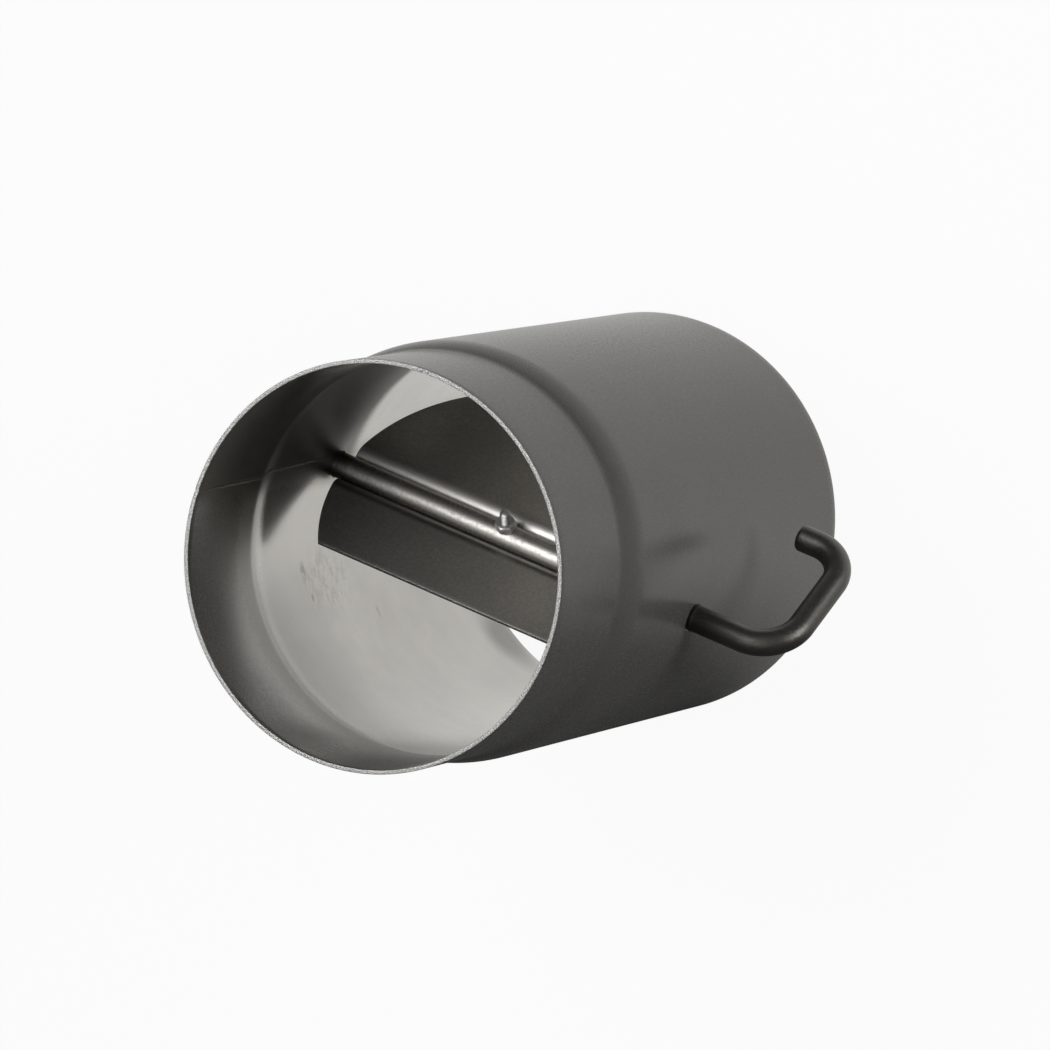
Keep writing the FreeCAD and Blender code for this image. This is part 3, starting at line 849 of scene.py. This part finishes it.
def make_screw():
    """A threaded shank with a turned point. The thread is one ridge that winds up it."""
    rows = []
    z = -BOLT_BACK
    while z < BOLT_TIP - 1e-6:
        rows.append(z)
        z += PITCH / 8
    rows.append(BOLT_TIP)
    verts = []
    for z in rows:
        limit = CREST_R - max(0.0, z - (BOLT_TIP - POINT)) * POINT_SLOPE
        for k in range(THREAD_AROUND):
            phase = (z / PITCH - k / THREAD_AROUND) % 1.0
            ridge = abs(phase - 0.5) * 2
            r = min(limit, CREST_R - THREAD_DEPTH * min(1.0, max(0.0, ridge * 1.35 - 0.15)))
            a = 2 * math.pi * k / THREAD_AROUND
            verts.append((r * math.cos(a), r * math.sin(a), z))
    return make_object("plate_screw_thread", verts, tube_faces(len(rows), THREAD_AROUND), [ZINC],
                       place=BOLT_FRAME, smooth=60)


screw = make_screw()
head = hex_block("plate_screw_head", -BOLT_BACK - HEAD_HEIGHT, -BOLT_BACK, False)
round_edges(head, 0.12, 25)
nut = hex_block("plate_nut_body", BAR_R, BAR_R + NUT_HEIGHT, True)
drill(nut, NUT_HOLE_R, 12, BOLT_FRAME @ Matrix.Rotation(-math.pi / 2, 4, "Y"), 0)
round_edges(nut, 0.1, 25)
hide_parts("plate_bolt")
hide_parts("plate_bolt")
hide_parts("plate_nut")
for piece in (screw, head, nut):
    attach(piece, "damper")


# The floor, the lights and the camera

IN_PIPE = (0.0745, 0.0765)
LIT_SIDE = (-0.070, 0.032)
POOL_Y = 0.11
POOL_EDGE = (0.19, 0.29)
SIDE_POOL = (0.39, 0.18)
SIDE_POOL_EDGE = (0.04, 0.30)
SIDE_POOL_LEVEL = 0.95
FLOOR_GLOW = 0.93
FLOOR_TONE = grey(0.9)
FLOOR_IN_SHINE = grey(0.13)
POOL_TONE = (1.0, 0.99, 0.963, 1)
FLOOR_HALF = 12.0


def make_floor():
    """White to the eye. What shines sees a painted pool of light round the pipe on the key lamp's
    side, a smaller one aside, white inside the pipe, and a dull floor elsewhere."""
    s = Shader("pale_floor")
    ray = s.rays()
    x, y, _ = s.axes()
    pool = s.times(s.remap(s.distance(x, s.minus(y, POOL_Y)), *POOL_EDGE, 1.0, 0.0),
                   s.remap(y, *LIT_SIDE))
    aside = s.distance(s.minus(x, SIDE_POOL[0]), s.minus(y, SIDE_POOL[1]))
    pool = s.most(pool, s.remap(aside, *SIDE_POOL_EDGE, SIDE_POOL_LEVEL, 0.0))
    pool = s.most(pool, s.remap(s.distance(x, y), *IN_PIPE, 1.0, 0.0))
    pool = s.times(ray["Is Glossy Ray"], pool)
    seen = s.most(ray["Is Camera Ray"], ray["Is Transmission Ray"])
    share = s.most(s.times(seen, FLOOR_GLOW), pool)
    dull = s.mix(ray["Is Glossy Ray"], FLOOR_TONE, FLOOR_IN_SHINE)
    paint = s.node("ShaderNodeBsdfDiffuse", {"Color": dull})
    tint = s.mix(ray["Is Glossy Ray"], grey(1.0), POOL_TONE)
    glow = s.node("ShaderNodeEmission", {"Color": tint, "Strength": 1.0})
    mat = s.done(s.node("ShaderNodeMixShader", {0: share, 1: paint, 2: glow}))
    mesh = bpy.data.meshes.new("floor")
    side = FLOOR_HALF
    mesh.from_pydata([(-side, -side, 0), (side, -side, 0), (side, side, 0), (-side, side, 0)],
                     [], [(0, 1, 2, 3)])
    mesh.materials.append(mat)
    floor = bpy.data.objects.new("floor", mesh)
    bpy.context.scene.collection.objects.link(floor)


ROOM_LIGHT = 0.15
ROOM_IN_SHINE = 0.1
FRONT = (-0.25, 0.12, 0.96)
FRONT_EDGE = (0.72, 0.94)


def make_world():
    """White to the eye. What shines sees white in front and a dim room elsewhere."""
    world = bpy.data.worlds.new("studio")
    bpy.context.scene.world = world
    world.use_nodes = True
    w = Nodes(world.node_tree)
    ray = w.rays()
    way = w.node("ShaderNodeTexCoord", output="Generated")
    near = w.node("ShaderNodeVectorMath", {0: way, 1: Vector(FRONT).normalized()},
                  output="Value", operation="DOT_PRODUCT")
    shiny = w.times(ray["Is Glossy Ray"], w.remap(near, *FRONT_EDGE, ROOM_IN_SHINE, 1.0))
    seen = w.most(ray["Is Camera Ray"], ray["Is Transmission Ray"])
    soft = w.times(ray["Is Diffuse Ray"], ROOM_LIGHT)
    total = w.most(w.most(seen, shiny), soft)
    sky = w.node("ShaderNodeBackground", {"Color": (1, 1, 1, 1), "Strength": total})
    w.node("ShaderNodeOutputWorld", {"Surface": sky})


# Each lamp has its place, the point that it aims at, its size and its power in watts

LAMPS = (("key_lamp", (1.35, 0.85, 0.38), (0, 0, 0.12), (0.9, 0.6), 15),
         ("front_lamp", (-0.50, 0.28, 1.5), (0, 0, 0.15), (1.0, 1.1), 11),
         ("fill_lamp", (0.62, -0.22, 1.6), (0, 0, 0.15), (0.6, 0.6), 1.5))


def make_lamp(name, place, aim, size, power):
    light = bpy.data.lights.new(name, "AREA")
    light.shape = "RECTANGLE"
    light.size, light.size_y = size
    light.energy = power
    lamp = bpy.data.objects.new(name, light)
    bpy.context.scene.collection.objects.link(lamp)
    lamp.location = place
    lamp.rotation_euler = (Vector(aim) - Vector(place)).to_track_quat("-Z", "Y").to_euler()


# The camera, as solved from the edges in the photo

LENS = 264.294
SENSOR = 36.0
CAMERA_PLACE = (0.998228, 0.626210, 2.698458)
CAMERA_RIGHT = (0.859444, 0.309075, -0.407220)
CAMERA_UP = (-0.370493, 0.925422, -0.079548)
CAMERA_BACK = (0.352264, 0.219239, 0.909859)


def make_camera():
    data = bpy.data.cameras.new("camera")
    data.sensor_width = SENSOR
    data.lens = LENS
    data.clip_end = 50.0
    camera = bpy.data.objects.new("camera", data)
    bpy.context.scene.collection.objects.link(camera)
    turn = Matrix((CAMERA_RIGHT, CAMERA_UP, CAMERA_BACK)).transposed().to_4x4()
    camera.matrix_world = Matrix.Translation(CAMERA_PLACE) @ turn
    bpy.context.scene.camera = camera


make_floor()
make_world()
for lamp in LAMPS:
    make_lamp(*lamp)
make_camera()
bpy.context.scene.view_settings.view_transform = "Standard"
